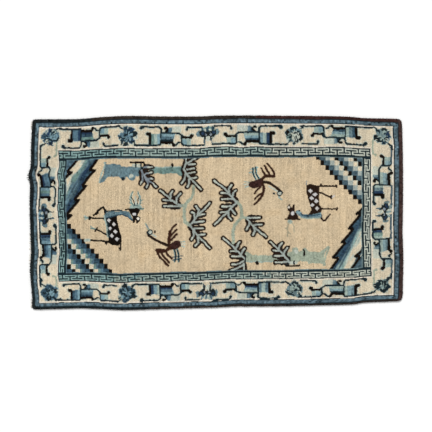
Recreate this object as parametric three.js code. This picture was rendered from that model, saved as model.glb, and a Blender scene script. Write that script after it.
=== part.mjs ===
// Small Chinese knotted-pile rug, lying flat and face up. Millimetres, +Z up.
// +X runs along the length, +Y across the width, and the origin is under the middle of the rug.
// It is one piece of cloth: wool knots tied on a woven foundation and clipped to an even pile.

import * as THREE from 'three';

// Thickness, from the floor up
const foundationThickness = 3;
const pileHeight = 6;
const rugThickness = foundationThickness + pileHeight;

// The outermost knots splay, so the rim is rounded above and below
const rim = { height: 3, reach: 4, steps: 2 };

// Straight steps that stand for the curve between two stations of an edge
const stepsPerStation = 3;

// Colour of the undyed camel wool that fills most of the field
const camelWool = 0xcdb896;
const woolRoughness = 0.95;

// The two long sides, as far as each stands from the middle line, at stations along the length
const longSides = [
  { along: -630, back: 326.0, front: -337.5 },
  { along: -523, back: 326.5, front: -334.8 },
  { along: -470, back: 327.5, front: -333.5 },
  { along: -400, back: 333.8, front: -336.0 },
  { along: -313, back: 338.0, front: -339.3 },
  { along: -190, back: 336.0, front: -335.5 },
  { along: -62, back: 336.0, front: -332.0 },
  { along: 0, back: 339.0, front: -330.6 },
  { along: 75, back: 339.3, front: -326.5 },
  { along: 230, back: 338.4, front: -325.5 },
  { along: 355, back: 337.7, front: -323.0 },
  { along: 440, back: 336.2, front: -321.0 },
  { along: 482, back: 333.8, front: -319.2 },
  { along: 524, back: 330.3, front: -313.0 },
  { along: 632, back: 328.0, front: -309.0 },
];

// The left end, where a frayed lock of pile stands out, at stations across the width
const leftEnd = [
  { across: 315, reach: -640.5 },
  { across: 281, reach: -643.0 },
  { across: 225, reach: -645.5 },
  { across: 165, reach: -646.5 },
  { across: 140, reach: -653.5 },
  { across: 122, reach: -653.5 },
  { across: 98, reach: -649.0 },
  { across: 30, reach: -650.0 },
  { across: -53, reach: -648.0 },
  { across: -137, reach: -645.0 },
  { across: -193, reach: -649.0 },
  { across: -248, reach: -645.5 },
  { across: -300, reach: -641.0 },
  { across: -327, reach: -642.0 },
];

// The right end, which is cleaner and has more worn corners
const rightEnd = [
  { across: 308, reach: 650.0 },
  { across: 200, reach: 652.5 },
  { across: 30, reach: 653.0 },
  { across: -65, reach: 651.5 },
  { across: -137, reach: 653.9 },
  { across: -200, reach: 653.9 },
  { across: -288, reach: 652.0 },
];

// Points of each edge, in the order that runs once round the rug against the clock
function edgePoints() {
  const front = longSides.map((row) => new THREE.Vector2(row.along, row.front));
  const right = rightEnd.map((row) => new THREE.Vector2(row.reach, row.across)).reverse();
  const back = longSides.map((row) => new THREE.Vector2(row.along, row.back)).reverse();
  const left = leftEnd.map((row) => new THREE.Vector2(row.reach, row.across));
  return [front, right, back, left];
}

// The corner in which the line of one edge meets the line of the next one
function cornerBetween(edge, nextEdge) {
  const last = edge[edge.length - 1];
  const first = nextEdge[0];
  const edgeIsLong = Math.abs(edge[0].x - last.x) > Math.abs(edge[0].y - last.y);
  return edgeIsLong ? new THREE.Vector2(first.x, last.y) : new THREE.Vector2(last.x, first.y);
}

// The uneven outline: smooth curves along the four edges, joined by rounded corners
function rugOutline() {
  const edges = edgePoints();
  const outline = new THREE.Shape();
  outline.moveTo(edges[0][0].x, edges[0][0].y);
  edges.forEach((edge, index) => {
    const nextEdge = edges[(index + 1) % edges.length];
    const corner = cornerBetween(edge, nextEdge);
    outline.splineThru(edge.slice(1));
    outline.quadraticCurveTo(corner.x, corner.y, nextEdge[0].x, nextEdge[0].y);
  });
  return outline;
}

// The slab of cloth, its widest line at mid-thickness on the outline
function rugSlab() {
  const slab = new THREE.ExtrudeGeometry(rugOutline(), {
    depth: rugThickness - 2 * rim.height,
    curveSegments: stepsPerStation,
    bevelEnabled: true,
    bevelThickness: rim.height,
    bevelSize: rim.reach,
    bevelOffset: -rim.reach,
    bevelSegments: rim.steps,
  });
  return slab.translate(0, 0, rim.height);
}

const wool = new THREE.MeshStandardMaterial({
  color: camelWool,
  roughness: woolRoughness,
  metalness: 0,
});

const rug = new THREE.Mesh(rugSlab(), wool);
rug.name = 'rug';

const part = new THREE.Group();
part.add(rug);

export default part;
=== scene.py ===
import math

import bpy
import numpy
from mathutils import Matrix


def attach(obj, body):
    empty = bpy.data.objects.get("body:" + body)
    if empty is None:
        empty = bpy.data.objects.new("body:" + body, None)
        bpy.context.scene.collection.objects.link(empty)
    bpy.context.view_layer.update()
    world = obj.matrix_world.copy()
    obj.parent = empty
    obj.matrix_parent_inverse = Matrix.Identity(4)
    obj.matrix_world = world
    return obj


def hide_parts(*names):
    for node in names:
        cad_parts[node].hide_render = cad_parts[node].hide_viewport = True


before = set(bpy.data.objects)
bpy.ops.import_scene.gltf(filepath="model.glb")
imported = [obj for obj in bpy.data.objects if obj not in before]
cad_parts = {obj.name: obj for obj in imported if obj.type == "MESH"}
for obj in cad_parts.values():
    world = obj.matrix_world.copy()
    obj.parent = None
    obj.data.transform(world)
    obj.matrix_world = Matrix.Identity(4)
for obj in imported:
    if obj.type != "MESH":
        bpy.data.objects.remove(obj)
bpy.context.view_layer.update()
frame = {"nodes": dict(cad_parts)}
print("frame loaded:", ", ".join(frame["nodes"]))

millimetre = 0.001

# knot chart: columns run along the rug from its left end, rows from the back edge to the front one
knotting = {
    "columns": 372,
    "rows": 192,
    "fineness": 2,  # colour samples along each side of a knot
    "margin": 2,  # knots round a stroke that its straying can reach
    "wander": 0.3,  # how far a tied line strays, in knots
    "wanderLength": 15,
    "shakeLength": 3.2,  # the same for small unsteady shapes
    "finer": (2.4, 0.5),  # a second shake: how many times shorter it is, and its share
    "seed": 11,
}

# washed wools as the studio light shows them, red, green and blue of 255
yarns = {
    "camel": (208, 187, 154),
    "ivory": (212, 199, 173),
    "white": (228, 219, 202),
    "pearl": (201, 199, 197),
    "umber": (21, 15, 11),
    "sepia": (40, 27, 20),
    "rust": (56, 33, 24),
    "aubergine": (58, 37, 34),
    "peat": (50, 44, 39),
    "russet": (66, 50, 47),
    "ink": (31, 36, 37),
    "navy": (40, 59, 82),
    "indigo": (53, 76, 90),
    "storm": (70, 90, 99),
    "blue": (82, 110, 125),
    "sky": (120, 151, 161),
    "teal": (106, 135, 130),
    "seafoam": (134, 164, 161),
    "celadon": (156, 175, 167),
    "mist": (188, 194, 180),
    "vine": (156, 166, 147),
    "stone": (162, 155, 131),
    "slate": (27, 41, 47),
    "pine": (158, 167, 160),
    "guard": (86, 107, 117),
    "haze": (98, 123, 131),
    "dusk": (126, 136, 143),
}
yarnNames = list(yarns)


def hasWool(chart, *names):  # where the chart has one of these wools
    return numpy.isin(chart, [yarnNames.index(name) for name in names])


def softNoise(dice, shape, downCell, overCell=None):  # random heights on a coarse net, blended between
    rows, columns = shape
    overCell = overCell or downCell
    net = dice.standard_normal((int(rows / downCell) + 2, int(columns / overCell) + 2))
    down = numpy.arange(rows) / downCell
    over = numpy.arange(columns) / overCell
    row = down.astype(int)
    column = over.astype(int)
    downShare = (down - row)[:, None]
    overShare = (over - column)[None, :]
    downShare = downShare * downShare * (3 - 2 * downShare)
    overShare = overShare * overShare * (3 - 2 * overShare)
    upper = net[row][:, column] * (1 - overShare) + net[row][:, column + 1] * overShare
    lower = net[row + 1][:, column] * (1 - overShare) + net[row + 1][:, column + 1] * overShare
    return upper * (1 - downShare) + lower * downShare


class Patch:  # the chart seen in the coordinates of one motif
    def __init__(self, loom, u, v, along, across, shake):
        self.loom = loom
        self.corner = (u, v)
        self.along = along
        self.across = across
        fromU, fromV = loom.u + shake * loom.shakeU - u, loom.v + shake * loom.shakeV - v
        self.a = fromU * along[0] + fromV * along[1]
        self.b = fromU * across[0] + fromV * across[1]

    def near(self, points, reach):  # rows and columns of the chart that these points can touch
        alongScale = self.along[0] ** 2 + self.along[1] ** 2
        acrossScale = self.across[0] ** 2 + self.across[1] ** 2
        spans = []
        for axis in (1, 0):
            places = [
                self.corner[axis] + a * self.along[axis] / alongScale + b * self.across[axis] / acrossScale
                for a, b in points
            ]
            first = math.floor((min(places) - reach - knotting["margin"]) * knotting["fineness"])
            last = math.ceil((max(places) + reach + knotting["margin"]) * knotting["fineness"])
            spans.append(slice(max(first, 0), max(last, 0)))
        return tuple(spans)

    def tie(self, yarn, where, part=(slice(None), slice(None))):
        self.loom.chart[part][where] = yarnNames.index(yarn)

    def box(self, yarn, a0, b0, a1, b1):
        part = self.near(((a0, b0), (a0, b1), (a1, b0), (a1, b1)), 0)
        a, b = self.a[part], self.b[part]
        self.tie(yarn, (a >= a0) & (a < a1) & (b >= b0) & (b < b1), part)

    def dot(self, yarn, a, b, wide, tall):
        part = self.near(((a, b),), max(wide, tall))
        self.tie(yarn, ((self.a[part] - a) / wide) ** 2 + ((self.b[part] - b) / tall) ** 2 < 1, part)

    def diamond(self, yarn, a, b, reach):
        part = self.near(((a, b),), reach)
        self.tie(yarn, abs(self.a[part] - a) + abs(self.b[part] - b) < reach, part)

    def line(self, yarn, width, *points):
        for (a0, b0), (a1, b1) in zip(points, points[1:]):
            part = self.near(((a0, b0), (a1, b1)), width)
            fromA, fromB = self.a[part] - a0, self.b[part] - b0
            runA, runB = a1 - a0, b1 - b0
            share = numpy.clip((fromA * runA + fromB * runB) / (runA * runA + runB * runB), 0, 1)
            self.tie(yarn, numpy.hypot(fromA - share * runA, fromB - share * runB) < width / 2, part)

    def shape(self, yarn, *points):
        part = self.near(points, 0)
        a, b = self.a[part], self.b[part]
        inside = numpy.zeros(a.shape, bool)
        for (a0, b0), (a1, b1) in zip(points, points[1:] + points[:1]):
            if b0 != b1:
                inside ^= ((b0 > b) != (b1 > b)) & (a < a0 + (b - b0) * (a1 - a0) / (b1 - b0))
        self.tie(yarn, inside, part)


class Loom:  # the whole chart, and where each of its samples lies in knots
    def __init__(self):
        dice = numpy.random.default_rng(knotting["seed"])
        fineness = knotting["fineness"]
        rows, columns = knotting["rows"] * fineness, knotting["columns"] * fineness
        self.chart = numpy.zeros((rows, columns), int)
        u, v = numpy.meshgrid(numpy.arange(columns) + 0.5, numpy.arange(rows) + 0.5)
        cell = knotting["wanderLength"] * fineness
        self.u = u / fineness + knotting["wander"] * softNoise(dice, u.shape, cell)
        self.v = v / fineness + knotting["wander"] * softNoise(dice, u.shape, cell)
        self.shakeU = self.shake(dice)
        self.shakeV = self.shake(dice)

    def shake(self, dice):
        cell = knotting["shakeLength"] * knotting["fineness"]
        shorter, share = knotting["finer"]
        coarse = softNoise(dice, self.chart.shape, cell)
        return coarse + share * softNoise(dice, self.chart.shape, cell / shorter)

    def patch(self, u=0, v=0, along=(1, 0), across=(0, 1), shake=0):
        return Patch(self, u, v, along, across, shake)


# knots from each edge to where the guard, the ivory border, the fret and the field begin
bands = {
    "left": (3.3, 7.5, 28.3, 36),
    "back": (3.4, 8, 31.4, 41.5),
    "right": (4, 9.6, 32, 40.6),
    "front": (2.2, 6.7, 27.3, 36),
}


def bandBox(level):
    return (
        bands["left"][level],
        bands["back"][level],
        knotting["columns"] - bands["right"][level],
        knotting["rows"] - bands["front"][level],
    )


def growBox(box, knots):
    return box[0] - knots, box[1] - knots, box[2] + knots, box[3] + knots


# columns at which the dark edge changes wool
edging = {"peatAtBack": 60, "peatAtFront": 120, "aubergineAtBack": 225}
# knots that the thin lines reach out past a band's start, or in from it
bandLines = {"guard": (0.2, -0.7), "border": 0.8, "rightEnd": 1.4, "white": -1.3, "fret": 1.1}


def weaveGrounds(loom):
    whole = loom.patch()
    guard, border, fret, field = (bandBox(level) for level in range(4))
    loom.chart[:] = yarnNames.index("ink")
    whole.tie("peat", (whole.b < guard[1]) & (whole.a > edging["peatAtBack"]))
    whole.tie("peat", (whole.b > guard[3]) & (whole.a > edging["peatAtFront"]))
    whole.tie("aubergine", (whole.b < guard[1]) & (whole.a > edging["aubergineAtBack"]))
    whole.tie("russet", whole.a > guard[2])
    outside, inside = bandLines["guard"]
    whole.box("slate", *growBox(guard, outside))
    whole.box("guard", *growBox(guard, inside))
    whole.box("slate", *growBox(border, bandLines["border"]))
    whole.box("slate", border[2], border[1], border[2] + bandLines["rightEnd"], border[3])
    whole.box("white", *border)
    whole.box("ivory", *growBox(border, bandLines["white"]))
    whole.box("white", *growBox(fret, bandLines["fret"]))
    whole.box("slate", *fret)
    whole.box("camel", *field)


# key fret: stems hang from the outer line and stand on the inner one, and their crossbars pass each other
fret = {
    "repeat": 14.4,
    "halfBar": 5.2,
    "halfStem": 0.7,
    "outerBar": (2.05, 3.25),  # rows of the fret's depth that each bar takes
    "innerBar": (4.2, 5.4),
    "pale": (1.1, 6.35),
    "depth": 8.2,
    "wools": (("seafoam", 0), ("celadon", 92), ("mist", 238)),  # each from this column on
    "ragged": 16,  # knots by which the change of wool strays
    "patch": 9,  # samples across one such stray
    "hem": 0.7,  # knots of a paler blue between the fret and the field
}


def weaveFret(loom):
    outer = bandBox(2)
    inner = bandBox(3)
    middleU, middleV = (inner[0] + inner[2]) / 2, (inner[1] + inner[3]) / 2
    long, short = (outer[2] - outer[0]) / 2, (inner[3] - inner[1]) / 2
    runs = (
        (middleU, outer[1], (1, 0), (0, 1), inner[1] - outer[1], long),
        (middleU, outer[3], (1, 0), (0, -1), outer[3] - inner[3], long),
        (outer[0], middleV, (0, 1), (1, 0), inner[0] - outer[0], short),
        (outer[2], middleV, (0, 1), (-1, 0), outer[2] - inner[2], short),
    )
    dice = numpy.random.default_rng(knotting["seed"] + 2)
    woolAt = loom.u + fret["ragged"] * softNoise(dice, loom.chart.shape, fret["patch"])
    for u, v, along, across, deep, half in runs:
        run = loom.patch(u, v, along, across)
        row = run.b * fret["depth"] / deep
        band = (row >= 0) & (row < fret["depth"]) & (abs(run.a) < half)
        run.tie("haze", (row >= 0) & (run.b < deep + fret["hem"]) & (abs(run.a) < half))
        run.tie("slate", band)
        pale = band & (row > fret["pale"][0]) & (row < fret["pale"][1]) & (abs(run.a) < half - 1)
        for wool, start in fret["wools"]:
            run.tie(wool, pale & ((woolAt >= start) | (start == 0)))
        step = numpy.mod(run.a, fret["repeat"])
        fromHanging = numpy.minimum(step, fret["repeat"] - step)
        fromStanding = abs(step - fret["repeat"] / 2)
        inOuterBar = (row >= fret["outerBar"][0]) & (row < fret["outerBar"][1])
        inInnerBar = (row >= fret["innerBar"][0]) & (row < fret["innerBar"][1])
        hanging = (fromHanging < fret["halfStem"]) & (row < fret["innerBar"][1])
        standing = (fromStanding < fret["halfStem"]) & (row >= fret["outerBar"][0])
        run.tie("slate", band & (hanging | standing))
        run.tie("slate", band & inInnerBar & (fromHanging < fret["halfBar"]))
        run.tie("slate", band & inOuterBar & (fromStanding < fret["halfBar"]))


# hooked cloud scroll of the ivory border, drawn in knots of its own
scrollSize = (66, 19)
scrollWeights = {"line": 1.95, "hook": 2.9, "end": 1.9}


def weaveHook(scroll, yarn, *points):  # a heavy stroke with a round end
    scroll.line(yarn, scrollWeights["hook"], *points)
    scroll.dot(yarn, *points[-1], scrollWeights["end"], scrollWeights["end"])


# along the sides and at the two ends: whether the columns stand near the fret, the outer line's wool,
# where the tail starts and its wool
scrollKinds = {
    "side": (False, "slate", 50.6, "slate"),
    "left": (False, "slate", 57.4, "vine"),
    "right": (True, "storm", 57.4, "vine"),
}


def weaveScroll(scroll, columns, bars, kind):
    nearFret, outside, tail, tailYarn = scrollKinds[kind]
    line = scrollWeights["line"]
    # the stack of columns in the first bend
    low, high, side = (1.4, 10.4, -1) if nearFret else (7.4, 18.2, 1)
    for index, yarn in enumerate(columns):
        scroll.box(yarn, 14.2 + 3.3 * index, low, 17.6 + 3.3 * index, high)
    foot, tip = (high, low) if side > 0 else (low, high)
    weaveHook(scroll, "umber", (13.4, foot), (13.2, tip), (10.8, tip + 0.3 * side))
    scroll.line(outside, line, (-2, 18.7), (23.4, 18.7), (24.4, 16.8))
    scroll.line("slate", line, (24.4, 16.8), (24.4, 3), (22.4, 0.9), (5, 0.9))
    weaveHook(scroll, "slate", (6.4, 0.9), (4.4, 2.2))
    # hook and pale cloud between the bends
    scroll.shape("indigo", (30.4, 1.8), (33, 1.4), (33, 6), (28.6, 6))
    scroll.box("blue", 32.6, 0.8, 35.6, 6)
    scroll.box("mist", 35.4, 0.2, 45, 5.8)
    scroll.line("umber", 1.9, (28.6, 6), (30.6, 3.8), (30.2, 2), (28.6, 1.2))
    scroll.dot("umber", 28.2, 2, 1.7, 1.5)
    # bars of the middle
    for index, yarn in enumerate(bars):
        low, high, back = 7.8 + 2.6 * index, 10.6 + 2.6 * index, 0.8 * index
        scroll.shape(yarn, (25, low), (39 - back, low), (38.2 - back, high), (25, high))
    scroll.line("slate", line, (24.5, 6.8), (42.6, 6.9), (45, 8.4), (47.4, 11))
    weaveHook(scroll, "umber", (25.2, 16.4), (36, 16.2), (37.4, 18.4))
    # second bend with its hook and block
    weaveHook(scroll, "umber", (47, 11.2), (54.6, 11.2), (56, 9.2))
    scroll.box("celadon", 46.4, 12.2, 55, 18)
    scroll.box("sky", 46.4, 13, 50.6, 18)
    scroll.line("slate", line, (45.4, 9.6), (45.4, 17), (47.2, 18.7))
    scroll.line(outside, line, (47.2, 18.7), (68, 18.7))
    scroll.line("slate", line, (40, 18.4), (41.8, 16.2), (43.4, 16))
    scroll.line(tailYarn, line, (tail, 2.6), (tail + 1.2, 0.8), (tail + 15.4, 0.8))
    scroll.dot(tailYarn, tail, 3.2, 1.4, 1.5)


lotusPetal = (
    (0, 7), (2.4, 6), (5, 4.4), (7.6, 4.8), (8.8, 7), (7.4, 9.8), (5.2, 11.4), (3, 11.6), (1.6, 10.2),
    (0, 10.4),
)


def weaveLotus(lotus, fan, rib):
    lotus.dot(fan, 0, 4.4, 6.6, 3)
    lotus.line(rib, 2.2, (0, 7), (0, 2.2))
    for side in (-1, 1):
        lotus.line(rib, 2.2, (3.6 * side, 6.6), (4.8 * side, 2.2))
        lotus.dot("mist", 2.2 * side, 4.6, 0.9, 1.3)
        lotus.dot("haze", 8.8 * side, 7, 2.4, 2.8)
        lotus.shape("ink", *((a * side, b) for a, b in lotusPetal))
        lotus.dot("navy", 5.6 * side, 7, 1.8, 1.4)
        lotus.dot("dusk", 2.4 * side, 9, 0.9, 1.1)
        lotus.line("ink", 1.8, (3.2 * side, 10.6), (3.3 * side, 14))
        lotus.line("storm", 1.4, (3.3 * side, 14), (3.4 * side, 16.8))
    lotus.dot("mist", 0, 13.4, 1.8, 2.4)


# rosettes: place, wools of the ground and its streaks, petals as wool, place and size,
# then the dark strokes of the heart and those that join it to the scroll
rosettes = (
    (
        (19, 18), "blue", "sky",
        (
            ("indigo", -5.4, -0.6, 3.1, 3.8), ("navy", -0.4, -6, 2.7, 2.4), ("navy", 0.4, 6.5, 2.8, 2.4),
            ("sky", 3, 0.8, 3.8, 3.4), ("mist", -3.4, 4, 1.9, 1.7), ("celadon", 3, -5.6, 1.8, 2),
        ),
        (
            ((8, 0.2), (7.4, 3.2), (3, 5)), ((-1.8, 0.8), (1, 3.4)), ((6, -7), (10, -7.6)),
            ((-5, 6.4), (-8.4, 9), (-8.4, 13)),
        ),
    ),
    (
        (96.5, 20), "blue", "sky",
        (
            ("indigo", -2, -6.8, 3, 2.2), ("navy", 2.4, -5.2, 2.7, 2.2), ("ink", 7, -2.4, 1.9, 3.2),
            ("indigo", -7, 0.8, 2.1, 2.7), ("navy", 4.4, 4.6, 2.4, 2.6), ("ink", -1.8, 8, 2.7, 1.7),
            ("indigo", -5.2, 4.8, 2, 2.2),
        ),
        (
            ((-2.8, -0.6), (-0.6, -1.8)), ((-6.6, -7.8), (-9.4, -9.8)), ((6, 6.4), (8, 9), (11, 9)),
            ((-6.8, 5.4), (-7.4, 9.2)),
        ),
    ),
    (
        (263.5, 19.5), "haze", "celadon",
        (
            ("mist", 0, 1, 4.8, 4.2), ("umber", -7.4, -2.4, 2.4, 2.4), ("slate", -0.8, -6.2, 4.2, 1.9),
            ("ink", 5.2, 1.6, 2.2, 3.8), ("ink", 1.6, 6.8, 2.5, 2.2), ("teal", -5, 1.6, 2, 2.2),
        ),
        (
            ((0.4, -2.2), (3.6, 0.4)), ((6, -6.4), (9.4, -9.4), (12, -9.6)),
            ((-3.6, 4.6), (-8.6, 9.2), (-12, 9.2)),
        ),
    ),
    (
        (352, 18), "haze", "celadon",
        (
            ("umber", -7, 2.4, 2, 3), ("ink", 1.6, -6.6, 2.5, 2), ("navy", 6.2, -0.4, 2.1, 3.2),
            ("ink", -3.4, 5, 2.1, 2.1), ("indigo", 0.8, 6.6, 2.9, 1.9), ("mist", 4, 3.2, 1.6, 1.5),
        ),
        (
            ((-10, -7.4), (-7, -7.6), (-3, -3)), ((1, 2.4), (3.6, 0.4)), ((5, 7), (8.4, 10.4), (8.4, 14)),
        ),
    ),
    (
        (19, 175.5), "blue", "sky",
        (
            ("ink", 5.2, -1.6, 2.1, 2.3), ("indigo", -0.5, -5.6, 3.4, 2.1), ("indigo", -6, 0, 2.6, 3.2),
            ("ink", -2, 5.8, 2.5, 2.2), ("sky", 1.2, 0, 3.3, 2.9),
        ),
        (
            ((-3, -0.6), (-0.8, -2.6)), ((2.4, 4.4), (5.6, 7.2), (10, 7.2)),
            ((-4.8, -6), (-8.4, -9.4), (-8.4, -13)),
        ),
    ),
    (
        (96, 175), "blue", "sky",
        (
            ("ink", -2.2, -6.8, 2.5, 1.9), ("indigo", 3, -3, 3.3, 2.6), ("ink", 6, 2.4, 2.1, 2.7),
            ("indigo", -6.4, -1.4, 2.1, 3), ("indigo", -1.5, 6.4, 3.6, 2), ("celadon", -7.2, 4.4, 1.9, 2.2),
        ),
        (
            ((-3.4, 0.6), (-0.8, 3)), ((3.4, -5.2), (6, -7.6), (11, -7.6)), ((2.6, 6.6), (4.2, 5)),
            ((-6, 6.6), (-8.6, 8.6)),
        ),
    ),
    (
        (264, 175.5), "haze", "celadon",
        (
            ("ink", 0.6, -7, 2.5, 1.9), ("ink", 4.6, -1.4, 1.9, 3), ("ink", -7.6, 2.2, 2.3, 1.7),
            ("mist", 3.4, 3.4, 2.4, 1.8), ("celadon", -1.6, -1.6, 3, 2.6),
        ),
        (
            ((-12, -9), (-9, -8.8), (-3.6, -4.2)), ((-0.8, 0.8), (1, -0.2)), ((-6, 5), (-1, 5.4)),
            ((3.4, 5), (7, 7.4), (11, 7.4)),
        ),
    ),
    (
        (351, 175.5), "haze", "celadon",
        (
            ("umber", -7.2, 0, 2.1, 2.5), ("slate", -3.8, 0, 1.9, 4.8), ("ink", 1.4, -3, 2.5, 3),
            ("ink", 0.8, 5.6, 2.9, 2), ("slate", 5.6, 1, 2.1, 3), ("slate", -3, -5.2, 2.5, 1.5),
        ),
        (
            ((1.8, -1.6), (2.8, 0.6)), ((5, -5.6), (9, -9.4), (9, -13)), ((-4.4, 4.6), (-8.2, 7), (-11, 7)),
        ),
    ),
)
rosetteForm = {
    "ground": (8.1, 7.6),
    "margin": 0.9,  # knots of ground round each petal, which is drawn in a little
    "drawnIn": 0.95,
    "petal": 1.12,
    "shadow": (1.5, (1.2, 0.8)),  # rays along a petal: width, then start and end as shares of its place
    "streak": (1.2, (0.75, 0.3)),
    "gap": (1.1, (7.6, 9.4)),  # rays between two petals: width, then start and end in knots
    "crease": (1.3, (3, 5.6)),
    "opposite": 3,  # petals that nearly face each other leave no ray between them
}


def weaveRosette(flower, ground, streak, petals, strokes):
    form = rosetteForm

    def ray(yarn, part, a, b):
        width, ends = form[part]
        flower.line(yarn, width, *((a * end, b * end) for end in ends))

    flower.dot(ground, 0, 0, *form["ground"])
    petals = sorted(petals, key=lambda petal: math.atan2(petal[2], petal[1]))
    for yarn, a, b, wide, tall in petals:
        margin, drawnIn = form["margin"], form["drawnIn"]
        flower.dot(ground, a * drawnIn, b * drawnIn, wide + margin, tall + margin)
    for yarn, a, b, wide, tall in petals:
        flower.dot(yarn, a, b, wide * form["petal"], tall * form["petal"])
        ray("slate", "shadow", a, b)
        ray(streak, "streak", a, b)
    for petal, nextPetal in zip(petals, petals[1:] + petals[:1]):
        a, b = petal[1] + nextPetal[1], petal[2] + nextPetal[2]
        reach = math.hypot(a, b)
        if reach > form["opposite"]:
            ray("mist", "gap", a / reach, b / reach)
            ray("slate", "crease", a / reach, b / reach)
    for stroke in strokes:
        flower.line("slate", scrollWeights["line"], *stroke)


# each scroll: kind, knots that it runs from and to, knots from foot to head, wools of its columns and bars
scrolls = (
    ("side", 28.5, 86.5, 30, 10, ("blue", "blue", "navy"), ("teal", "indigo", "navy")),
    ("side", 106, 171, 10, 29, ("teal", "celadon", "sky"), ("sky", "blue", "slate")),
    ("side", 254.5, 183.5, 9.5, 29, ("navy", "celadon", "sky"), ("celadon", "sky", "indigo")),
    ("side", 339.5, 271.5, 29, 10, ("indigo", "blue", "celadon"), ("celadon", "sky", "indigo")),
    ("side", 29, 85.5, 166.5, 183.5, ("indigo", "blue", "sky"), ("sky", "blue", "indigo")),
    ("side", 106, 168.5, 184.5, 167, ("navy", "sky", "celadon"), ("sky", "blue", "navy")),
    ("side", 252, 183.5, 185, 167.5, ("blue", "celadon", "blue"), ("celadon", "sky", "navy")),
    ("side", 338.5, 269.5, 166, 183.5, ("blue", "sky", "celadon"), ("celadon", "sky", "slate")),
    ("left", 91.5, 29, 26.5, 9.5, ("blue", "teal", "sky"), ("blue", "blue", "navy")),
    ("left", 103.5, 167, 26.5, 9.5, ("navy", "blue", "sky"), ("sky", "blue", "indigo")),
    ("right", 93, 29.5, 341.5, 360.5, ("navy", "blue", "celadon"), ("celadon", "sky", "blue")),
    ("right", 103, 166, 341.5, 360.5, ("navy", "teal", "celadon"), ("celadon", "sky", "blue")),
)
# each lotus: where it stands, which way it runs and which way its depth goes, wools of its fan and ribs
lotuses = (
    (177, 9.5, (0.94, 0), (0, 0.97), "teal", "indigo"),
    (176, 185, (0.94, 0), (0, -0.97), "celadon", "guard"),
    (8, 97.5, (0, 0.94), (1.02, 0), "sky", "indigo"),
    (362, 97.5, (0, 0.94), (-1.02, 0), "mist", "haze"),
)

# where the strokes meet the ivory, some knots are of a paler blue
halo = {
    "reach": 2,  # samples from a stroke
    "patch": 4,
    "least": -0.4,  # noise that a patch needs
}
borderShake = {"scroll": 0.2, "lotus": 0.6, "rosette": 0.65}  # how unsteady each motif is


def weaveHalo(loom):
    dice = numpy.random.default_rng(knotting["seed"] + 3)
    dark = hasWool(loom.chart, "slate", "umber", "ink", "navy", "indigo", "blue")
    near = dark.copy()
    for step in range(-halo["reach"], halo["reach"] + 1):
        near |= numpy.roll(dark, step, 0) | numpy.roll(dark, step, 1)
    patchy = softNoise(dice, loom.chart.shape, halo["patch"]) > halo["least"]
    loom.patch().tie("mist", near & patchy & hasWool(loom.chart, "ivory"))


def weaveBorder(loom):
    for kind, start, end, foot, head, columns, bars in scrolls:
        along = scrollSize[0] / (end - start)
        across = scrollSize[1] / (head - foot)
        if kind == "side":
            place = (start, foot, (along, 0), (0, across))
        else:
            place = (foot, start, (0, along), (across, 0))
        weaveScroll(loom.patch(*place, borderShake["scroll"]), columns, bars, kind)
    for *place, fan, rib in lotuses:
        weaveLotus(loom.patch(*place, borderShake["lotus"]), fan, rib)
    for place, *plan in rosettes:
        weaveRosette(loom.patch(*place, shake=borderShake["rosette"]), *plan)
    weaveHalo(loom)


# thorny spandrel: a saw-toothed dark edge with slanting stripes behind it
thorny = {
    "top": (67.6, 42),  # where the middle of the edge meets the fret
    "slope": 0.53,  # knots that the edge moves back for each row
    "edge": 2.8,
    "setBack": (-0.8, 0.4),  # from the tooth's line to the middle of its dark edge
    "calm": 5,  # knots behind the edge before the streaks have their full reach
    "overlap": 3,  # rows by which one tooth runs on behind the next
    "hidden": 4,  # knots that the stripes run on under the fret
    "streak": (17, 3.4, 1.9),  # samples along the edge, samples across it and reach in knots
}
# the teeth, from the back down: a slanting edge and the point that juts out at its foot
thornyEdges = (
    ((68.6, 40), (61, 51), (65.8, 53.4)),
    ((65.8, 53.4), (53.6, 66.8), (57.2, 68.4)),
    ((56.6, 68.4), (45.8, 80.8), (49.6, 82.2)),
    ((49.6, 82.2), (38, 96.4), (42, 97.2)),
    ((42, 97.2), (33.2, 105)),
    ((48.4, 40), (39.4, 51.6), (43.6, 53.6)),
    ((43.6, 53.6), (34, 61.6)),
)
outerTeeth = 5  # the first ones bound the stripes
# wools behind the edge, each from this depth on
leftStripes = (
    ("indigo", -3), ("navy", 2.4), ("indigo", 4.6), ("storm", 6.6), ("blue", 8.2), ("haze", 9.6),
    ("teal", 11), ("pine", 13), ("mist", 14.6), ("ivory", 16), ("blue", 21.4),
)
rightStripes = (
    ("indigo", -3), ("navy", 3), ("indigo", 4.6), ("storm", 6), ("blue", 7), ("haze", 8.2),
    ("seafoam", 9.4), ("celadon", 10.6), ("mist", 12.4), ("ivory", 14.4), ("storm", 21.4),
)


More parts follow.
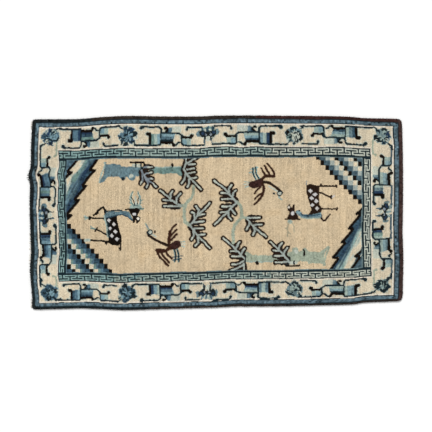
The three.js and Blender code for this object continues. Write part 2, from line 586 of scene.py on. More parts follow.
def weaveThorny(half, dice, stripes):
    field = bandBox(3)
    depth = thorny["top"][0] - (half.b - thorny["top"][1]) * thorny["slope"] - half.a
    # streaks that lean with the edge
    rows, columns = half.a.shape
    longCell, thinCell, reach = thorny["streak"]
    upright = softNoise(dice, (rows, columns * 2), longCell, thinCell)
    leaning = numpy.arange(columns) + (numpy.arange(rows)[:, None] * thorny["slope"]).astype(int)
    depth += reach * numpy.take_along_axis(upright, leaning, 1) * numpy.clip(depth / thorny["calm"], 0, 1)
    behindEdge = numpy.zeros(half.a.shape, bool)
    for (a0, b0), (a1, b1) in (points[:2] for points in thornyEdges[:outerTeeth]):
        inRows = (half.b >= b0) & (half.b < b1 + thorny["overlap"])
        behindEdge |= inRows & (half.a < a0 + (half.b - b0) * (a1 - a0) / (b1 - b0))
    behindEdge &= (half.a > field[0] - thorny["hidden"]) & (half.b > field[1] - thorny["hidden"])
    for yarn, start in stripes:
        half.tie(yarn, behindEdge & (depth >= start))
    backA, backB = thorny["setBack"]
    for points in thornyEdges:
        half.line("umber", thorny["edge"], *((a + backA, b + backB) for a, b in points[:2]))
        if len(points) == 3:
            (a0, b0), (a1, b1) = points[1:]
            point = (a1 + 0.9, b1 - 0.7), (a1 - 0.2, b1 + 0.5)
            half.shape("umber", (a0 - 2, b0 - 0.2), *point, (a0 - 1.2, b0 + 3.6))


# stepped spandrel: blocks of four wools that move on one block a step, each as its outer and inner half
stepped = {"steps": 10, "dark": 0.78}  # the dark block is narrower, its inner part in the next wool
leftBlocks = (("umber", "umber"), ("indigo", "indigo"), ("blue", "teal"), ("ivory", "ivory"))
rightBlocks = (("umber", "umber"), ("storm", "storm"), ("pine", "pine"), ("ivory", "ivory"))


def weaveStepped(half, u, v, wide, tall, blocks):
    for step in range(stepped["steps"]):
        v0 = v + step * tall
        for block in range(step + 1):
            u1 = u + (step - block + 1) * wide
            outer, inner = blocks[block % len(blocks)]
            half.box(inner, u1 - wide, v0, u1, v0 + tall)
            half.box(outer, u1 - wide / 2, v0, u1, v0 + tall)
            if block % len(blocks) == 0:
                half.box(blocks[1][0], u1 - wide, v0, u1 - wide * stepped["dark"], v0 + tall)


# pine sprays: the line of each needle, root first
pine = {
    "outline": 5.2,
    "vein": 1.7,
    "tip": 1.3,
    "vine": 3.2,
    "web": 6.6,
    "webShares": (0.2, 0.55, 0.9),  # of a needle's first stretch: start, end if straight, end if bent
    "outlineShare": 0.3,
}
leftSprays = (
    (
        ((111.6, 53.4), (115, 58.4), (119.4, 63.8), (126, 69.8)),
        ((113.4, 50.8), (121.4, 50.6)),
        ((116.2, 58.4), (117.8, 56.6), (122.8, 56.4)),
        ((119, 62.8), (120.6, 62), (123.6, 62.4)),
        ((113.6, 57.4), (113.8, 62.4), (110.4, 67)),
        ((117, 61.8), (118.4, 66.4), (116.6, 70.8)),
    ),
    (
        ((153.6, 52.9), (156.6, 57.5), (161.2, 63.5), (170.2, 73.5)),
        ((154, 51.5), (155.2, 45.5), (155, 40.5)),
        ((155, 47.9), (159.6, 45.1), (166.6, 41.5)),
        ((158, 48.3), (164.8, 48.1)),
        ((156.6, 52.9), (164, 52.5)),
        ((158.2, 57.5), (165, 56.3)),
        ((161.2, 62.3), (166.2, 61.7)),
        ((156, 57.5), (154.6, 62.5), (151, 66.9)),
        ((159.2, 62.5), (158.8, 66.9), (156.6, 70.7)),
    ),
    (
        ((148.6, 88.6), (143.2, 85), (139.2, 81.4), (130.2, 73.6)),
        ((151, 89.8), (134, 89.8)),
        ((146, 87), (146.2, 81), (150.2, 76.8)),
        ((140.6, 82.8), (140.2, 78), (142.4, 74.2)),
        ((141.6, 84.4), (138.2, 83.8), (133.4, 83.6)),
    ),
    (
        ((159.8, 109.4), (164.2, 103.6), (169.8, 96.8), (179.6, 87.2)),
        ((167.2, 99.8), (168.4, 94), (165.2, 89.8)),
        ((164.2, 103.6), (164.2, 98), (161.6, 95.8)),
        ((168.4, 98.8), (174.2, 98.4)),
        ((163.2, 106), (173.2, 105.6)),
        ((159.8, 109.4), (163.2, 113.4), (168.2, 121.4), (179.2, 132.2)),
        ((162.8, 113), (172.8, 112.4)),
        ((167.4, 119.2), (174.2, 119)),
        ((163.4, 114.8), (163.4, 119.8), (160.6, 123)),
        ((167.2, 120.8), (167.8, 126.4), (164.2, 130.2)),
    ),
)
rightSprays = (
    (
        ((257.6, 146.6), (251.6, 140), (246.6, 134.4), (239.6, 127.4)),
        ((247.6, 135.6), (249, 131), (251.4, 128.4)),
        ((253, 140.8), (253.6, 137), (256.6, 133.2)),
        ((248.6, 137), (242.2, 136.4)),
        ((252.6, 141.8), (243.6, 141.6)),
        ((258, 147.6), (244.6, 147.8)),
    ),
    (
        ((213.4, 144), (207.8, 138), (203.4, 133), (192.8, 122.8)),
        ((204.8, 134.6), (206.4, 130.6), (209, 127.6)),
        ((210, 139.4), (211.4, 136.6), (213.4, 134)),
        ((205.8, 136.8), (200.2, 136.4)),
        ((210.8, 142), (201, 142)),
        ((213, 146.4), (208.4, 149), (201, 149.4)),
        ((213, 150), (206.4, 153.6), (198.8, 156.4)),
        ((213, 149), (213.2, 158)),
    ),
    (
        ((216.5, 103.9), (220.5, 108.5), (225.5, 113.5), (235.5, 122.3)),
        ((216.5, 102.7), (229.7, 102.5)),
        ((222.9, 110.3), (225.5, 109.3), (231.3, 109.1)),
        ((218.7, 106.5), (218.5, 110.9), (215.9, 115.1)),
        ((222.9, 111.5), (223.9, 115.5), (221.7, 119.7)),
    ),
    (
        ((206, 87), (201.2, 81.8), (196.6, 76.2), (184.4, 65)),
        ((198.4, 79), (198.2, 73.6), (201, 70)),
        ((202, 82.4), (202.4, 78), (205, 75.4)),
        ((198, 78.6), (190.4, 77.8)),
        ((202.2, 83.8), (191.4, 83.6)),
        ((206, 87.4), (200.4, 92.6), (197, 97.2), (183.8, 109.4)),
        ((201, 91.2), (191.4, 91)),
        ((197.6, 96.2), (190, 97.2)),
        ((198, 97.6), (198.4, 102), (200.8, 104.6)),
        ((200.4, 93), (202.4, 96.4), (204.4, 98.8)),
    ),
)
# the stem that joins the sprays, and its branch
leftVine = (
    (
        (162.8, 70.6), (162.8, 78), (160, 83), (155.2, 87.4), (153.8, 92), (153.8, 101), (155.2, 106),
        (160, 109),
    ),
    ((154.6, 89), (149.6, 89.6)),
)
rightVine = (
    (
        (206.4, 87.4), (209.8, 90), (211, 96), (210.8, 102.4), (208, 106), (204.2, 110), (202.4, 116),
        (202.6, 128),
    ),
    ((210.6, 102.2), (217, 103)),
)


def between(first, second, share):
    return tuple(a + (b - a) * share for a, b in zip(first, second))


def weavePines(field, sprays, wools, vine):
    start, straight, bent = pine["webShares"]
    needles = [needle for spray in sprays for needle in spray]
    for root, bend, *rest in needles:
        end = bent if rest else straight
        field.line("ink", pine["web"], between(root, bend, start), between(root, bend, end))
    for root, bend, *rest in needles:
        field.line("sepia", pine["outline"], between(root, bend, pine["outlineShare"]), bend, *rest)
    for run in vine:
        field.line("vine", pine["vine"], *run)
    for spray, wool in zip(sprays, wools):
        for needle in spray:
            field.line(wool, pine["vein"], *needle)
            field.line("mist", pine["tip"], between(needle[-2], needle[-1], 0.5), needle[-1])


def weaveTrunks(half, nearYarn, farYarn, fringe):
    half.shape(
        nearYarn, (72.6, 45.4), (75, 45.4), (75, 47.6), (89, 47.4), (91, 50), (111, 50), (111, 59), (105, 60),
        (102, 64), (99.4, 60), (96, 60.4), (95, 63.6), (92, 63.8), (89.6, 60), (78, 60.4), (73, 64.4),
        (69, 66.4), (68.4, 65), (72, 61), (74, 56),
    )
    half.line(fringe, 1.5, (73.4, 46), (72.6, 54), (70.6, 60), (68.6, 65.4))
    half.shape(farYarn, (119, 50), (154, 50), (153, 61), (150, 60), (146, 57), (119, 56.6))
    half.line("celadon", 1.2, (119, 50.4), (152, 50.4))
    half.dot(nearYarn, 102.4, 61, 3.4, 3.2)
    half.dot("mist", 101.6, 59.6, 2.2, 2)
    half.box("mist", 100.6, 47.4, 109, 50.6)
    half.line("slate", 1.5, (103.8, 47.6), (104.2, 50.6))
    half.line("slate", 1.5, (109.2, 47.2), (109.2, 51))
    half.line("umber", 1.9, (98.8, 45.8), (111.8, 45.8), (113, 48))
    half.dot("umber", 140.4, 48.8, 1.5, 2.3)


# the animals, each drawn on its own: a stroke's kind, its wool and what Patch asks for with that kind
leftDeer = (
    # antlers
    ("line", "mist", 2.4, (103, 90), (101.2, 85), (101, 80), (102.4, 76)),
    ("line", "mist", 2.4, (108.6, 90), (110.4, 85), (110, 79.4), (108.6, 76)),
    ("line", "mist", 2, (105.8, 90), (105.8, 80)),
    ("shape", "celadon", (99.4, 91.6), (100.6, 88.6), (103, 87.6), (109, 87.6), (111.2, 88.6),
     (112, 91.6)),
    ("line", "teal", 1.1, (103.4, 89), (101.4, 85), (101.2, 79.6), (103, 74.6)),
    ("line", "teal", 1.1, (108.6, 89), (110.6, 85), (110.2, 79.4), (108.4, 74.2)),
    ("line", "slate", 0.9, (104.8, 89), (103.6, 83.6), (101.8, 80.4)),
    ("line", "slate", 0.9, (107, 89), (108, 83.6), (109.4, 80.4)),
    ("line", "teal", 1, (101.4, 84.4), (99.2, 82.4)),
    ("line", "teal", 1, (110.6, 84.4), (113, 82.2)),
    ("line", "teal", 1, (102.2, 87), (99.6, 86)),
    ("line", "teal", 1, (110, 87), (112.6, 85.8)),
    # tail
    ("line", "umber", 2.1, (75.6, 97), (75.4, 92.4), (73.4, 89.8), (71, 91), (63.8, 98.2)),
    ("line", "umber", 1, (66, 97.6), (68.6, 95.6)),
    # legs and hooves
    ("line", "celadon", 1.1, (58.6, 100.6), (54.4, 98.8)),
    ("line", "teal", 1, (58.6, 100.8), (54, 100.6)),
    ("line", "celadon", 1.1, (58.6, 101.2), (54.6, 102.4)),
    ("line", "umber", 1.8, (78, 101.4), (60, 101)),
    ("line", "umber", 2, (59.6, 99.8), (59.6, 102.4)),
    ("line", "celadon", 1.2, (64.8, 111.8), (60.8, 109.6)),
    ("line", "teal", 1, (64.6, 112), (60.6, 111.6)),
    ("line", "umber", 1.8, (79, 118.6), (66.6, 112.4)),
    ("line", "umber", 1.8, (66.8, 110.8), (65, 114)),
    ("line", "mist", 3, (54.8, 123), (59, 123)),
    ("line", "celadon", 1, (55, 122.8), (58.4, 122.8)),
    ("line", "umber", 2, (79, 124), (60.6, 123.2)),
    ("line", "umber", 1.6, (90, 126), (89.4, 132.6)),
    ("line", "umber", 1.2, (88.4, 130.2), (89.4, 131.4)),
    # body with its pale side, blue back and neck
    ("line", "celadon", 2.2, (75, 99), (75.2, 103), (76.8, 109), (77.4, 119)),
    ("shape", "umber", (75.8, 99), (86.6, 97.6), (87.4, 104), (88.8, 111), (90.4, 118), (90.8, 127),
     (86, 128.2), (80.4, 127.4), (77.4, 125.4), (75.6, 127.8), (73.4, 125), (77.6, 123.2), (78, 112),
     (76.4, 105)),
    ("line", "slate", 2, (76.4, 101), (77.8, 108), (78.6, 120)),
    ("shape", "haze", (75, 97), (76.4, 94.4), (90, 94), (96, 93.6), (99.4, 95), (103.4, 104),
     (102.4, 104.6), (97.4, 99.6), (92, 97.4), (87.4, 98.6), (80, 99), (75.2, 101)),
    ("line", "indigo", 1.3, (77, 100.4), (86, 98.6), (92, 97.4), (97.6, 99.8), (102.2, 104)),
    ("line", "blue", 1.4, (92, 95.6), (97, 97), (101, 101.4)),
    ("line", "slate", 1.3, (76, 93.6), (86, 93.2), (92.4, 93)),
    ("diamond", "pearl", 79, 103.4, 2),
    ("diamond", "pearl", 83.8, 107.4, 2),
    ("diamond", "pearl", 79.8, 111, 2),
    ("diamond", "pearl", 84.8, 114.5, 2.1),
    ("diamond", "pearl", 81, 118.6, 2.1),
    ("diamond", "pearl", 86.2, 122, 2.2),
    # head
    ("shape", "umber", (98.6, 92), (111, 91.6), (108.8, 96), (107.2, 99.4), (110.2, 101), (110, 103.6),
     (107.2, 106.6), (106, 106.4), (105.4, 103), (104, 106.6), (102.6, 106.4), (102.6, 101), (100, 96)),
    ("line", "umber", 1.5, (95.6, 92), (111, 91.8)),
    ("line", "teal", 1.6, (110.4, 92.4), (113.6, 91.6)),
    ("dot", "pearl", 104.4, 97.4, 1.8, 1.7),
    ("dot", "white", 107.9, 102, 1.3, 1.3),
)
rightDeer = (
    # antlers
    ("dot", "celadon", 259.6, 107, 2.6, 2),
    ("line", "stone", 1.3, (258.6, 107.6), (256.4, 113), (257, 117.6), (256.2, 121.4)),
    ("line", "stone", 1.2, (261, 107.6), (263.4, 112), (263.4, 117)),
    ("line", "stone", 1, (257, 112), (254.4, 114)),
    ("line", "stone", 1, (257, 116), (259.4, 119)),
    # tail
    ("line", "sepia", 2, (290, 100.4), (290.6, 103.8), (292.8, 106), (294.8, 105.2), (299, 99.6)),
    # legs and hooves
    ("line", "sepia", 1.7, (288, 71.4), (305.4, 71.2)),
    ("line", "sepia", 2.2, (305.4, 70.6), (305.4, 71.8)),
    ("line", "sepia", 1.6, (289.4, 71), (290.2, 69.4)),
    ("line", "sepia", 1.8, (288, 78), (291.6, 78.4), (296.6, 81), (300, 82.4)),
    ("line", "sepia", 2.2, (300.4, 81.2), (300.4, 83.4)),
    ("line", "sepia", 1.6, (289, 94), (306, 94)),
    ("line", "sepia", 1.9, (306.6, 92.8), (306, 95)),
    ("line", "pearl", 1.2, (301.8, 82.4), (303.2, 80.8)),
    # body, blue back and neck
    ("line", "dusk", 1, (275.6, 66), (275, 69.6)),
    ("shape", "sepia", (274.8, 70), (280, 68.8), (285, 70.2), (288.8, 71), (288.2, 80), (288.4, 90.6),
     (291.6, 93.6), (289.6, 99.6), (277.4, 100), (280.4, 96), (279.6, 90.6), (277.4, 84), (275, 78)),
    ("shape", "sky", (264.4, 96.2), (268, 95.8), (272.4, 99), (279, 100), (290, 98), (290.4, 103),
     (281, 103.8), (273, 103.4), (268, 101)),
    ("line", "indigo", 1.6, (270.4, 98.8), (274, 100.4), (279.6, 100.8), (288.6, 99.6)),
    ("line", "blue", 1.4, (268.6, 100), (274, 102.2), (289, 101.6)),
    ("line", "celadon", 1.1, (270.6, 102.6), (276, 103.6), (289, 103)),
    ("dot", "slate", 268.6, 96, 1, 0.9),
    ("diamond", "pearl", 279.4, 76.2, 2.4),
    ("diamond", "pearl", 284.2, 79.8, 2.4),
    ("diamond", "pearl", 280.8, 83.4, 2.2),
    ("diamond", "pearl", 285.4, 86.6, 2.3),
    ("diamond", "pearl", 281.4, 90.4, 2.2),
    ("diamond", "pearl", 286.4, 94, 2.2),
    # head
    ("shape", "sepia", (256.4, 103.8), (258, 99.8), (259.2, 97), (257, 95.2), (256.2, 92), (258, 89.4),
     (259.9, 88.6), (259.9, 92.4), (261.6, 92.6), (262.4, 89), (263.9, 90), (264.2, 97), (266.6, 99),
     (268.4, 103.8)),
    ("line", "sepia", 1.5, (254.6, 104.3), (269.4, 104.3)),
    ("dot", "white", 258.2, 92.4, 1.2, 1.2),
    ("dot", "pearl", 262.2, 98.6, 1.8, 1.7),
)
leftCrane = (
    # tail and legs
    ("line", "celadon", 1.3, (149.4, 125.2), (153.8, 124.4)),
    ("line", "mist", 1.3, (149.4, 127.4), (154.2, 127.6)),
    ("line", "celadon", 1.3, (149.4, 129.6), (153.2, 130.6)),
    ("line", "seafoam", 2.2, (143, 132), (144, 138), (144, 145)),
    ("line", "seafoam", 2.2, (146, 132), (147.2, 138), (148, 145)),
    ("line", "storm", 1.3, (142, 140.6), (151.2, 140.2)),
    ("line", "storm", 1.2, (142.2, 143.6), (150.6, 142.8)),
    ("line", "slate", 1.5, (143.4, 134), (144.4, 138.6), (144.2, 145.2)),
    ("line", "slate", 1.5, (146.4, 134), (147.6, 138.6), (148.2, 145.2)),
    # body
    ("shape", "aubergine", (137.4, 129), (141, 126), (144, 123.6), (149.2, 124.2), (149.6, 130),
     (146.4, 133), (140.4, 133.2), (135.4, 134.6)),
    # upper wing
    ("line", "rust", 3.3, (138, 132), (138.4, 125), (139.6, 115)),
    ("line", "rust", 2.2, (139.4, 114.8), (142, 111), (146.2, 107.8)),
    ("line", "rust", 2.1, (140.2, 119.6), (142.8, 116.2), (146.2, 112.8)),
    ("line", "rust", 2.1, (140.6, 123.6), (142.8, 120.8), (146.4, 117)),
    # lower wing
    ("line", "rust", 3.9, (138.4, 131), (134.4, 133.8), (126, 133.8)),
    ("shape", "rust", (124.6, 132), (129.4, 133), (127.8, 138.6), (125.4, 138)),
    ("line", "rust", 2.4, (126.4, 136), (128.4, 140), (132, 143.4), (137.4, 149.2)),
    ("line", "rust", 2.5, (129.8, 134.6), (132, 138.8), (138.2, 145.8)),
    ("line", "rust", 2.3, (134.4, 134), (136.6, 138), (140.8, 141.8)),
    # neck, head and beak
    ("line", "mist", 1.7, (121.4, 117.4), (125.8, 120)),
    ("line", "sepia", 3, (137.4, 128.6), (130, 125.8)),
    ("line", "sepia", 2.8, (130, 125.8), (122.8, 122), (119.2, 119), (117.8, 115.4)),
    ("line", "vine", 2, (118.4, 112.4), (115.4, 107.4)),
    ("line", "dusk", 1.2, (117.8, 111), (116.2, 108.6)),
    ("dot", "slate", 120, 115.4, 2.9, 2.9),
    ("dot", "mist", 120.2, 115.5, 1.7, 1.7),
    ("dot", "sepia", 124.9, 115.3, 1.1, 1.6),
)
rightCrane = (
    # tail and legs
    ("line", "celadon", 1.2, (218.4, 67), (214.2, 66.6)),
    ("line", "mist", 1.2, (218.4, 69), (213.4, 69.4)),
    ("line", "celadon", 1.2, (218.4, 71), (214.4, 72.4)),
    ("line", "seafoam", 2.2, (225.8, 64.4), (223, 58), (222.4, 53)),
    ("line", "seafoam", 2.2, (229, 63.4), (226, 58), (225.4, 52.6)),
    ("line", "seafoam", 1.2, (219.8, 54), (227.2, 52.4)),
    ("line", "seafoam", 1.1, (219.2, 57.2), (222.4, 56)),
    ("line", "slate", 1.3, (225, 63.4), (222.4, 57), (222, 52.6)),
    ("line", "slate", 1.3, (228.2, 62.4), (225.6, 57.4), (225, 52.4)),
    # body
    ("dot", "aubergine", 222.8, 69.4, 4.9, 3.8),
    ("shape", "aubergine", (220.4, 66.6), (225.4, 64.4), (229.4, 62.8), (233.4, 62), (233.4, 68),
     (232.8, 71), (226.4, 72.6), (221.4, 73)),
    # upper wing
    ("line", "rust", 3.2, (231.8, 63.6), (235, 60.8), (243.8, 61)),
    ("line", "rust", 2.4, (244.2, 61), (243.4, 56.6), (240, 51.4)),
    ("line", "rust", 2.1, (240, 51.4), (236.8, 48)),
    ("line", "rust", 2.3, (239.8, 60.4), (238.2, 57), (234, 50.4)),
    ("line", "rust", 2.2, (235.2, 60.2), (233.8, 57.2), (230.6, 53.2)),
    # lower wing
    ("line", "rust", 3, (231.4, 68), (233.2, 72), (232.8, 76.4), (231.4, 81)),
    ("line", "rust", 2.4, (231.4, 81), (228.8, 85), (224.2, 89.4)),
    ("line", "rust", 2.1, (230, 72), (227, 74.4), (223.8, 78.6)),
    ("line", "rust", 2.2, (231.8, 77.6), (228.4, 80), (224.4, 84)),
    # neck, head and beak
    ("line", "mist", 1.6, (238.4, 71.4), (247.4, 77)),
    ("line", "sepia", 3.2, (233.4, 66.6), (239, 68)),
    ("line", "sepia", 2.7, (239, 68), (243.8, 71), (248, 74.6), (250.8, 77.6)),
    ("line", "celadon", 1.4, (248, 82), (251.2, 84.6)),
    ("dot", "slate", 249, 78.6, 2.9, 2.9),
    ("dot", "mist", 248.8, 78.6, 1.7, 1.7),
    ("dot", "slate", 243.4, 78.8, 1.1, 1.3),
)


def weaveDrawing(patch, drawing):
    for kind, *stroke in drawing:
        getattr(patch, kind)(*stroke)


# the field turns half round about its middle, and each half has its own small shifts and wools
halves = (
    {
        "place": ((0, 0), (1, 0), (0, 1)),
        "stepped": (36, 106, 4.6, 5.1, leftBlocks),
        "stripes": leftStripes,
        "sprays": leftSprays,
        "needles": ("dusk", "pine", "pine", "pine"),
        "vine": leftVine,
        "trunks": ("haze", "teal", "celadon"),
        "trunkShift": (0.8, 0),
        "knothole": ("slate", 3.4, (93, 62), (93, 62.6)),
        "animals": leftDeer + leftCrane,
    },
    {
        "place": ((367, 197), (-1, 0), (0, -1)),
        "stepped": (35.5, 107.5, 4.65, 4.9, rightBlocks),
        "stripes": rightStripes,
        "sprays": rightSprays,
        "needles": ("pine", "pine", "pine", "pine"),
        "vine": rightVine,
        "trunks": ("vine", "vine", "vine"),
        "trunkShift": (0, -0.4),
        "knothole": ("umber", 1.7, (94.4, 56), (93.6, 59), (94.4, 62)),
        "animals": rightDeer + rightCrane,
    },
)
fieldShake = {"trunks": 0.35, "pines": 0.25, "animals": 0.2}  # how unsteady each drawing is


def weaveField(loom):
    dice = numpy.random.default_rng(knotting["seed"] + 1)
    for plan in halves:
        (u, v), along, across = plan["place"]
        half = loom.patch(u, v, along, across)
        weaveThorny(half, dice, plan["stripes"])
        weaveStepped(half, *plan["stepped"])
        moveU, moveV = plan["trunkShift"]
        place = (u + moveU * along[0], v + moveV * across[1], along, across)
        trunks = loom.patch(*place, fieldShake["trunks"])
        weaveTrunks(trunks, *plan["trunks"])
        trunks.line(*plan["knothole"])
        weavePines(loom.patch(shake=fieldShake["pines"]), plan["sprays"], plan["needles"], plan["vine"])
        weaveDrawing(loom.patch(shake=fieldShake["animals"]), plan["animals"])


def weaveChart():
    loom = Loom()
    weaveGrounds(loom)
    weaveField(loom)
    weaveFret(loom)  # after the field, so the spandrels end at the fret
    weaveBorder(loom)
    return loom.chart


chart = weaveChart()
print("chart woven:", chart.shape[1], "by", chart.shape[0], "samples")


# uneven dye, light and wear, as shares of a wool's own colour
dyeing = {
    "lightGain": 1.13,  # how much brighter the studio light shows a wool than it is
    "knot": 0.1,
    "weft": 0.08,  # streaks along single rows of knots
    "weftLength": 26,
    "cloud": 0.03,
    "cloudSize": 13,
    "drift": 0.035,
    "driftSize": 55,
    "warmth": 0.014,  # what red gains in warm patches
    "yellowing": 1.4,  # blue loses this many times as much
    "coldest": -0.3,  # least warmth of a patch
    "mottle": {
        "guard": 0.5, "peat": 0.35, "russet": 0.3, "navy": 0.3, "indigo": 0.28, "storm": 0.22, "blue": 0.22,
        "sky": 0.16, "haze": 0.2, "dusk": 0.15, "teal": 0.18, "vine": 0.12, "celadon": 0.1, "seafoam": 0.12,
        "ink": 0.3, "umber": 0.3, "aubergine": 0.3,
    },
    "mottleSize": 1.5,
    "fade": 0.3,  # bluish wools bleach towards the right end
    "fadePower": 1.5,
    "ivoryRamp": 0.06,  # the ivory is lighter towards the left end and darker towards the right
    "ivoryRampMiddle": 0.35,
    "limits": (0.002, 0.95),
    "seed": 23,
}
bluish = ("blue", "sky", "haze", "teal", "celadon")
bleached = (150, 164, 150)


def toLinear(colour):
    share = numpy.asarray(colour, float) / 255
    return numpy.where(share < 0.04045, share / 12.92, ((share + 0.055) / 1.055) ** 2.4)


def dyeChart(chart):
    dice = numpy.random.default_rng(dyeing["seed"])
    rows, columns = chart.shape
    fineness = knotting["fineness"]
    colours = toLinear([yarns[name] for name in yarnNames])[chart]
    # the blues bleach from left to right
    towardsRight = (numpy.arange(columns) / columns)[None, :]
    fade = (hasWool(chart, *bluish) * towardsRight ** dyeing["fadePower"] * dyeing["fade"])[:, :, None]
    colours = colours * (1 - fade) + toLinear(bleached) * fade
    # ivory and white lighter towards the left end, darker towards the right
    ivoryRamp = 1 + hasWool(chart, "ivory", "white") * dyeing["ivoryRamp"] * (dyeing["ivoryRampMiddle"] - towardsRight)
    # light and dark, by the knot, the weft and the cloud
    perKnot = dice.standard_normal((rows // fineness, columns // fineness))
    light = dyeing["knot"] * perKnot.repeat(fineness, 0).repeat(fineness, 1)
    light += dyeing["weft"] * softNoise(dice, chart.shape, dyeing["weftLength"] * fineness, fineness)
    light += dyeing["cloud"] * softNoise(dice, chart.shape, dyeing["cloudSize"])
    light += dyeing["drift"] * softNoise(dice, chart.shape, dyeing["driftSize"])
    mottle = numpy.array([dyeing["mottle"].get(name, 0) for name in yarnNames])[chart]
    light += mottle * softNoise(dice, chart.shape, dyeing["mottleSize"] * fineness)
    warm = numpy.maximum(softNoise(dice, chart.shape, dyeing["cloudSize"]), dyeing["coldest"])
    warm = dyeing["warmth"] * warm
    tint = numpy.stack((1 + light + warm, 1 + light, 1 + light - dyeing["yellowing"] * warm), axis=2)
    return numpy.clip(colours * tint * ivoryRamp[:, :, None] / dyeing["lightGain"], *dyeing["limits"])


colours = dyeChart(chart)
print("wools dyed:", len(yarnNames))


# the cloth: a pile face with one quad for each knot, a rounded rim and a flat woven back
cloth = {
    "thickness": 9.0,
    "rim": ((0, 3.0), (0.22, 6.1), (0.6, 7.9), (1.2, 8.8), (2, 9.0)),  # knots in from the edge, height
    "worn": 0.9,  # the iron-dyed browns have corroded, so their pile is lower
    "unworn": 4,  # knots along the edge where they have not
    "tuft": 0.16,  # unevenness of single knots
    "tuftFrom": 0.5,  # knots from the edge
    "swell": 0.35,  # slow rise and fall of the pile
    "swellFrom": 2,
    "swellSize": 28,
    "backInset": 1.15,  # knots from the edge to the flat of the back
    "weaveDepth": 0.12,
    "mapMargin": 0.01,
    "flat": (0.668, 1.302),
    "seed": 5,
}
wornYarns = ("umber", "aubergine", "ink")

# how the solid's outline is read
outline = {
    "widest": (2.9, 6.1),  # heights of the solid's widest line
    "corner": (0.025, 0.03),  # metres at the ends of an edge that belong to the corners
    "outerPart": 0.8,  # an edge's points lie past this share of the reach
    "length": 1.3,  # metres, a first guess
    "rounds": 4,  # turns that settle where the two pairs of edges agree
    "samples": 400,  # along each edge
    "roundedFrom": 0.9,  # share of the way out from which the corners round off
}


def edgeOf(ring, axis, side):  # one edge of the outline, as a line to read across the other axis
    reach = abs(ring).max(axis=0)
    other = 1 - axis
    onEdge = ring[:, axis] * side > outline["outerPart"] * reach[axis]
    points = ring[onEdge & (abs(ring[:, other]) < reach[other] - outline["corner"][other])]
    return points[numpy.argsort(points[:, other])]


def outlineRing():  # the solid's widest line, once round
    node = frame["nodes"]["rug"].data
    points = numpy.array([vertex.co for vertex in node.vertices])
    low, high = outline["widest"]
    widest = points[(points[:, 2] > low * millimetre) & (points[:, 2] < high * millimetre)][:, :2]
    ring = numpy.unique(widest.round(6), axis=0)
    return ring[numpy.argsort(numpy.arctan2(ring[:, 1], ring[:, 0]))]


def radiusAt(angle, line):
    angles = numpy.arctan2(line[:, 1], line[:, 0])
    order = numpy.argsort(angles)
    radii = numpy.hypot(line[:, 0], line[:, 1])
    return numpy.interp(angle, angles[order], radii[order], period=2 * math.pi)


def onceRound(count, last):  # places along the four edges, from the back left corner
    way = numpy.linspace(0, 1, count, endpoint=last)
    zero, one = numpy.zeros(count), numpy.ones(count)
    return (way, zero), (one, way), (1 - way, one), (zero, 1 - way)


class Ground:  # where each place of the chart lies on the floor
    def __init__(self):
        self.ring = outlineRing()
        self.edges = {
            "left": edgeOf(self.ring, 0, -1),
            "right": edgeOf(self.ring, 0, 1),
            "front": edgeOf(self.ring, 1, -1),
            "back": edgeOf(self.ring, 1, 1),
        }
        self.square = numpy.concatenate([self.squared(u, v) for u, v in onceRound(outline["samples"], True)])

    def squared(self, u, v):  # between the four edges, the corners left sharp
        def across(place, first, second, axis, share):
            edges = self.edges[first], self.edges[second]
            start, end = (numpy.interp(place, edge[:, axis], edge[:, 1 - axis]) for edge in edges)
            return start + (end - start) * share

        x = (u - 0.5) * outline["length"]
        for _ in range(outline["rounds"]):
            y = across(x, "back", "front", 0, v)
            x = across(y, "left", "right", 1, u)
        return numpy.stack((x, y), axis=-1)

    def at(self, u, v):  # u and v from 0 to 1, the corners rounded like the solid's
        points = self.squared(u, v)
        angle = numpy.arctan2(points[..., 1], points[..., 0])
        radius = numpy.hypot(points[..., 0], points[..., 1])
        sharp = radiusAt(angle, self.square)
        start = outline["roundedFrom"]
        share = numpy.clip((radius / sharp - start) / (1 - start), 0, 1)
        shrink = 1 - (1 - radiusAt(angle, self.ring) / sharp) * share
        return points * shrink[..., None]


ground = Ground()


def edgeLines(count):  # knot lines, closer together where the rim rounds over
    *close, inner = (place for place, height in cloth["rim"])
    far = [count - place for place in reversed(close)]
    return numpy.array(close + list(range(inner, count - inner + 1)) + far, float)


def backLines(count):
    inset = cloth["backInset"]
    return numpy.array([inset] + list(range(3, count - 2, 2)) + [count - inset], float)


def gridFaces(start, columns, rows, upward):
    corner = start + numpy.arange(rows - 1)[:, None] * columns + numpy.arange(columns - 1)[None, :]
    loops = (corner, corner + columns, corner + columns + 1, corner + 1)
    if not upward:
        loops = loops[::-1]
    return numpy.stack(loops, axis=-1).reshape(-1, 4)


def gridEdge(start, lines, rowLines):  # a grid's outer vertices once round, with their places from 0 to 4
    columns, rows = len(lines), len(rowLines)
    along, down = lines / knotting["columns"], rowLines / knotting["rows"]
    top = [(start + i, along[i]) for i in range(columns - 1)]
    right = [(start + i * columns + columns - 1, 1 + down[i]) for i in range(rows - 1)]
    bottom = [(start + (rows - 1) * columns + i, 3 - along[i]) for i in range(columns - 1, 0, -1)]
    left = [(start + i * columns, 4 - down[i]) for i in range(rows - 1, 0, -1)]
    return top + right + bottom + left


def stitchLoops(upper, lower):  # triangles between two loops that run the same way round
    faces = []
    upper = upper + [(upper[0][0], upper[0][1] + 4)]
    lower = lower + [(lower[0][0], lower[0][1] + 4)]
    i = j = 0
    while i < len(upper) - 1 or j < len(lower) - 1:
        if j == len(lower) - 1 or (i < len(upper) - 1 and upper[i + 1][1] <= lower[j + 1][1]):
            faces.append((upper[i][0], upper[i + 1][0], lower[j][0]))
            i += 1
        else:
            faces.append((upper[i][0], lower[j + 1][0], lower[j][0]))
            j += 1
    return faces


